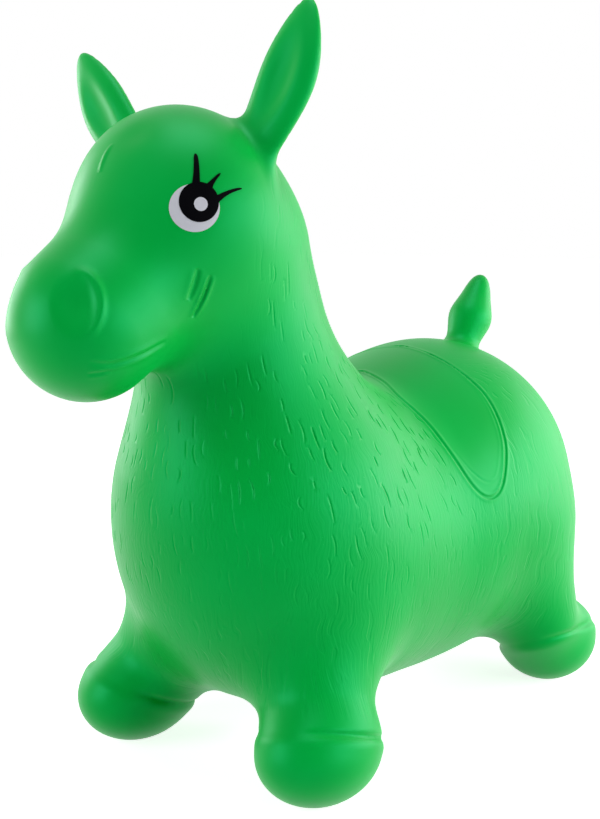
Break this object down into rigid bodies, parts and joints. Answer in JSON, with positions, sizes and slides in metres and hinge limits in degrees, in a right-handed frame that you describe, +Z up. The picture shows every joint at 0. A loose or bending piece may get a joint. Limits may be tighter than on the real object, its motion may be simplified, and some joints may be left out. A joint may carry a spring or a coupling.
{
  "type": "bouncy ride on animal",
  "caption": "Air-filled hop-on horse with a dished seat, short legs with flat-soled hooves, ears as handles, painted eyes and an air valve under the belly.",
  "frame": {"origin": "centre of the bounding box in plan, on the floor under the hooves", "axes": "+Z up, -Y towards the nose, +X towards the horse's left"},
  "size_m": [0.2576, 0.5442, 0.5273],
  "materials": {
    "skin": "green soft PVC, satin to glossy",
    "eye_white": "off-white paint, satin",
    "eye_black": "black paint, satin",
    "valve": "white moulded plastic, matt"
  },
  "bodies": {
    "trunk": {"torso": "skin", "neck": "skin", "tail_root": "skin", "front_left_leg": "skin", "front_right_leg": "skin", "rear_left_leg": "skin", "rear_right_leg": "skin", "valve_seat": "valve"},
    "head": {"head": "skin", "left_ear_root": "skin", "right_ear_root": "skin", "left_eye_white": "eye_white", "left_eye_pupil": "eye_black", "left_eye_glint": "eye_white", "right_eye_white": "eye_white", "right_eye_pupil": "eye_black", "right_eye_glint": "eye_white"},
    "left_ear": {"left_ear": "skin"},
    "right_ear": {"right_ear": "skin"},
    "tail": {"tail": "skin"},
    "front_left_hoof": {"front_left_hoof": "skin"},
    "front_right_hoof": {"front_right_hoof": "skin"},
    "rear_left_hoof": {"rear_left_hoof": "skin"},
    "rear_right_hoof": {"rear_right_hoof": "skin"},
    "valve_plug": {"valve_plug": "valve"}
  },
  "joints": [
    {"name": "neck_bend", "type": "hinge", "parent": "trunk", "child": "head", "pos_m": [0, -0.08848, 0.29347], "axis": [1, 0, 0], "range_deg": [-8, 8], "stiffness_Nm_per_rad": 60, "deforming": ["neck"]},
    {"name": "left_ear_bend", "type": "hinge", "parent": "head", "child": "left_ear", "pos_m": [0.0542, -0.1165, 0.45732], "axis": [0.9441, 0.017, -0.3291], "range_deg": [-25, 25], "stiffness_Nm_per_rad": 4.3, "deforming": ["left_ear_root"]},
    {"name": "right_ear_bend", "type": "hinge", "parent": "head", "child": "right_ear", "pos_m": [-0.06723, -0.12311, 0.44947], "axis": [0.7425, -0.0174, 0.6697], "range_deg": [-25, 25], "stiffness_Nm_per_rad": 4.3, "deforming": ["right_ear_root"]},
    {"name": "tail_swing", "type": "hinge", "parent": "trunk", "child": "tail", "pos_m": [0, 0.20768, 0.28881], "axis": [0, -0.8721, 0.4894], "range_deg": [-25, 25], "stiffness_Nm_per_rad": 2, "deforming": ["tail_root"]},
    {"name": "front_left_hoof_press", "type": "slide", "parent": "trunk", "child": "front_left_hoof", "axis": [0, 0, 1], "range_m": [0, 0.012], "stiffness_N_per_m": 3500, "springref_m": -0.002, "deforming": ["front_left_leg"]},
    {"name": "front_right_hoof_press", "type": "slide", "parent": "trunk", "child": "front_right_hoof", "axis": [0, 0, 1], "range_m": [0, 0.012], "stiffness_N_per_m": 3500, "springref_m": -0.002, "deforming": ["front_right_leg"]},
    {"name": "rear_left_hoof_press", "type": "slide", "parent": "trunk", "child": "rear_left_hoof", "axis": [0, 0, 1], "range_m": [0, 0.012], "stiffness_N_per_m": 3500, "springref_m": -0.002, "deforming": ["rear_left_leg"]},
    {"name": "rear_right_hoof_press", "type": "slide", "parent": "trunk", "child": "rear_right_hoof", "axis": [0, 0, 1], "range_m": [0, 0.012], "stiffness_N_per_m": 3500, "springref_m": -0.002, "deforming": ["rear_right_leg"]},
    {"name": "valve_plug_pull", "type": "slide", "parent": "trunk", "child": "valve_plug", "axis": [0, 0, -1], "range_m": [0, 0.02]}
  ]
}
